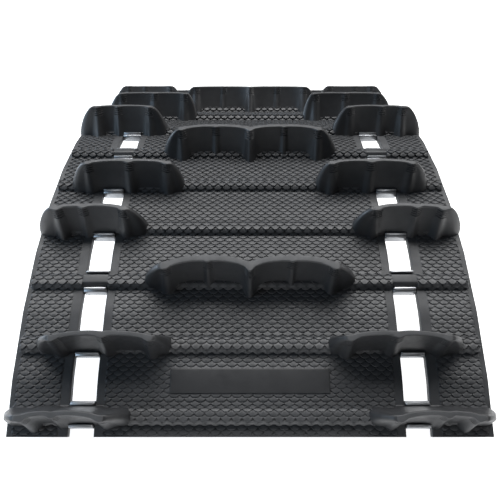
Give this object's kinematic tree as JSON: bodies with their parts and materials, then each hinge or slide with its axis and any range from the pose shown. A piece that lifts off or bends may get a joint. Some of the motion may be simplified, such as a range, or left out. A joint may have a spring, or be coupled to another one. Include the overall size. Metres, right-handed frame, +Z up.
{
  "type": "snowmobile track section",
  "caption": "Cut length of reinforced rubber snow track with scalloped lugs, steel clips, drive windows and cross rods, which flexes between its bars and lies as a low arch.",
  "frame": {"origin": "on the floor under the middle of the resting strip", "axes": "+X across the belt, +Y along the strip from the front cut to the rear cut, +Z up"},
  "size_m": [0.5, 0.8208, 0.1971],
  "materials": {
    "belt_rubber": "satin moulded rubber with fish-scale relief",
    "lug_rubber": "smooth moulded rubber",
    "drive_rubber": "smooth moulded rubber",
    "clip_steel": "bright stamped steel",
    "glass_fibre": "pultruded glass fibre"
  },
  "bodies": {
    "pitch_01": {"belt_01": "belt_rubber", "rod_01": "glass_fibre", "lugs_01": "lug_rubber", "clips_01": "clip_steel", "drive_lugs_01": "drive_rubber"},
    "pitch_02": {"belt_02": "belt_rubber", "rod_02": "glass_fibre", "lugs_02": "lug_rubber", "clips_02": "clip_steel", "drive_lugs_02": "drive_rubber"},
    "pitch_03": {"belt_03": "belt_rubber", "rod_03": "glass_fibre", "lugs_03": "lug_rubber", "clips_03": "clip_steel", "drive_lugs_03": "drive_rubber"},
    "pitch_04": {"belt_04": "belt_rubber", "rod_04": "glass_fibre", "lugs_04": "lug_rubber", "clips_04": "clip_steel", "drive_lugs_04": "drive_rubber"},
    "pitch_05": {"belt_05": "belt_rubber", "rod_05": "glass_fibre", "lugs_05": "lug_rubber", "clips_05": "clip_steel", "drive_lugs_05": "drive_rubber"},
    "pitch_06": {"belt_06": "belt_rubber", "rod_06": "glass_fibre", "lugs_06": "lug_rubber", "clips_06": "clip_steel", "drive_lugs_06": "drive_rubber"},
    "pitch_07": {"belt_07": "belt_rubber", "rod_07": "glass_fibre", "lugs_07": "lug_rubber", "clips_07": "clip_steel", "drive_lugs_07": "drive_rubber"},
    "pitch_08": {"belt_08": "belt_rubber", "rod_08": "glass_fibre", "lugs_08": "lug_rubber", "clips_08": "clip_steel", "drive_lugs_08": "drive_rubber"},
    "pitch_09": {"belt_09": "belt_rubber", "rod_09": "glass_fibre", "lugs_09": "lug_rubber", "clips_09": "clip_steel", "drive_lugs_09": "drive_rubber"},
    "pitch_10": {"belt_10": "belt_rubber", "rod_10": "glass_fibre", "lugs_10": "lug_rubber", "clips_10": "clip_steel", "drive_lugs_10": "drive_rubber"},
    "pitch_11": {"belt_11": "belt_rubber", "rod_11": "glass_fibre", "lugs_11": "lug_rubber", "clips_11": "clip_steel", "drive_lugs_11": "drive_rubber"},
    "pitch_12": {"belt_12": "belt_rubber", "rod_12": "glass_fibre", "lugs_12": "lug_rubber", "clips_12": "clip_steel", "drive_lugs_12": "drive_rubber"}
  },
  "joints": [
    {"name": "flex_01", "type": "hinge", "parent": "pitch_01", "child": "pitch_02", "pos_m": [0, -0.34943, 0.04779], "axis": [-1, 0, 0], "range_deg": [-17, 21], "stiffness_Nm_per_rad": 400},
    {"name": "flex_02", "type": "hinge", "parent": "pitch_02", "child": "pitch_03", "pos_m": [0, -0.28725, 0.08534], "axis": [-1, 0, 0], "range_deg": [-17, 21], "stiffness_Nm_per_rad": 400},
    {"name": "flex_03", "type": "hinge", "parent": "pitch_03", "child": "pitch_04", "pos_m": [0, -0.22096, 0.11503], "axis": [-1, 0, 0], "range_deg": [-17, 21], "stiffness_Nm_per_rad": 400},
    {"name": "flex_04", "type": "hinge", "parent": "pitch_04", "child": "pitch_05", "pos_m": [0, -0.15154, 0.13642], "axis": [-1, 0, 0], "range_deg": [-17, 21], "stiffness_Nm_per_rad": 400},
    {"name": "flex_05", "type": "hinge", "parent": "pitch_05", "child": "pitch_06", "pos_m": [0, -0.08003, 0.1492], "axis": [-1, 0, 0], "range_deg": [-17, 21], "stiffness_Nm_per_rad": 400},
    {"name": "flex_06", "type": "hinge", "parent": "pitch_06", "child": "pitch_07", "pos_m": [0, -0.0075, 0.15316], "axis": [-1, 0, 0], "range_deg": [-17, 21], "stiffness_Nm_per_rad": 400},
    {"name": "flex_07", "type": "hinge", "parent": "pitch_07", "child": "pitch_08", "pos_m": [0, 0.06497, 0.14826], "axis": [-1, 0, 0], "range_deg": [-16.2, 21.8], "stiffness_Nm_per_rad": 400},
    {"name": "flex_08", "type": "hinge", "parent": "pitch_08", "child": "pitch_09", "pos_m": [0, 0.13649, 0.13556], "axis": [-1, 0, 0], "range_deg": [-16.2, 21.8], "stiffness_Nm_per_rad": 400},
    {"name": "flex_09", "type": "hinge", "parent": "pitch_09", "child": "pitch_10", "pos_m": [0, 0.20622, 0.11521], "axis": [-1, 0, 0], "range_deg": [-16.2, 21.8], "stiffness_Nm_per_rad": 400},
    {"name": "flex_10", "type": "hinge", "parent": "pitch_10", "child": "pitch_11", "pos_m": [0, 0.27335, 0.08744], "axis": [-1, 0, 0], "range_deg": [-16.2, 21.8], "stiffness_Nm_per_rad": 400},
    {"name": "flex_11", "type": "hinge", "parent": "pitch_11", "child": "pitch_12", "pos_m": [0, 0.33708, 0.05259], "axis": [-1, 0, 0], "range_deg": [-16.2, 21.8], "stiffness_Nm_per_rad": 400}
  ]
}
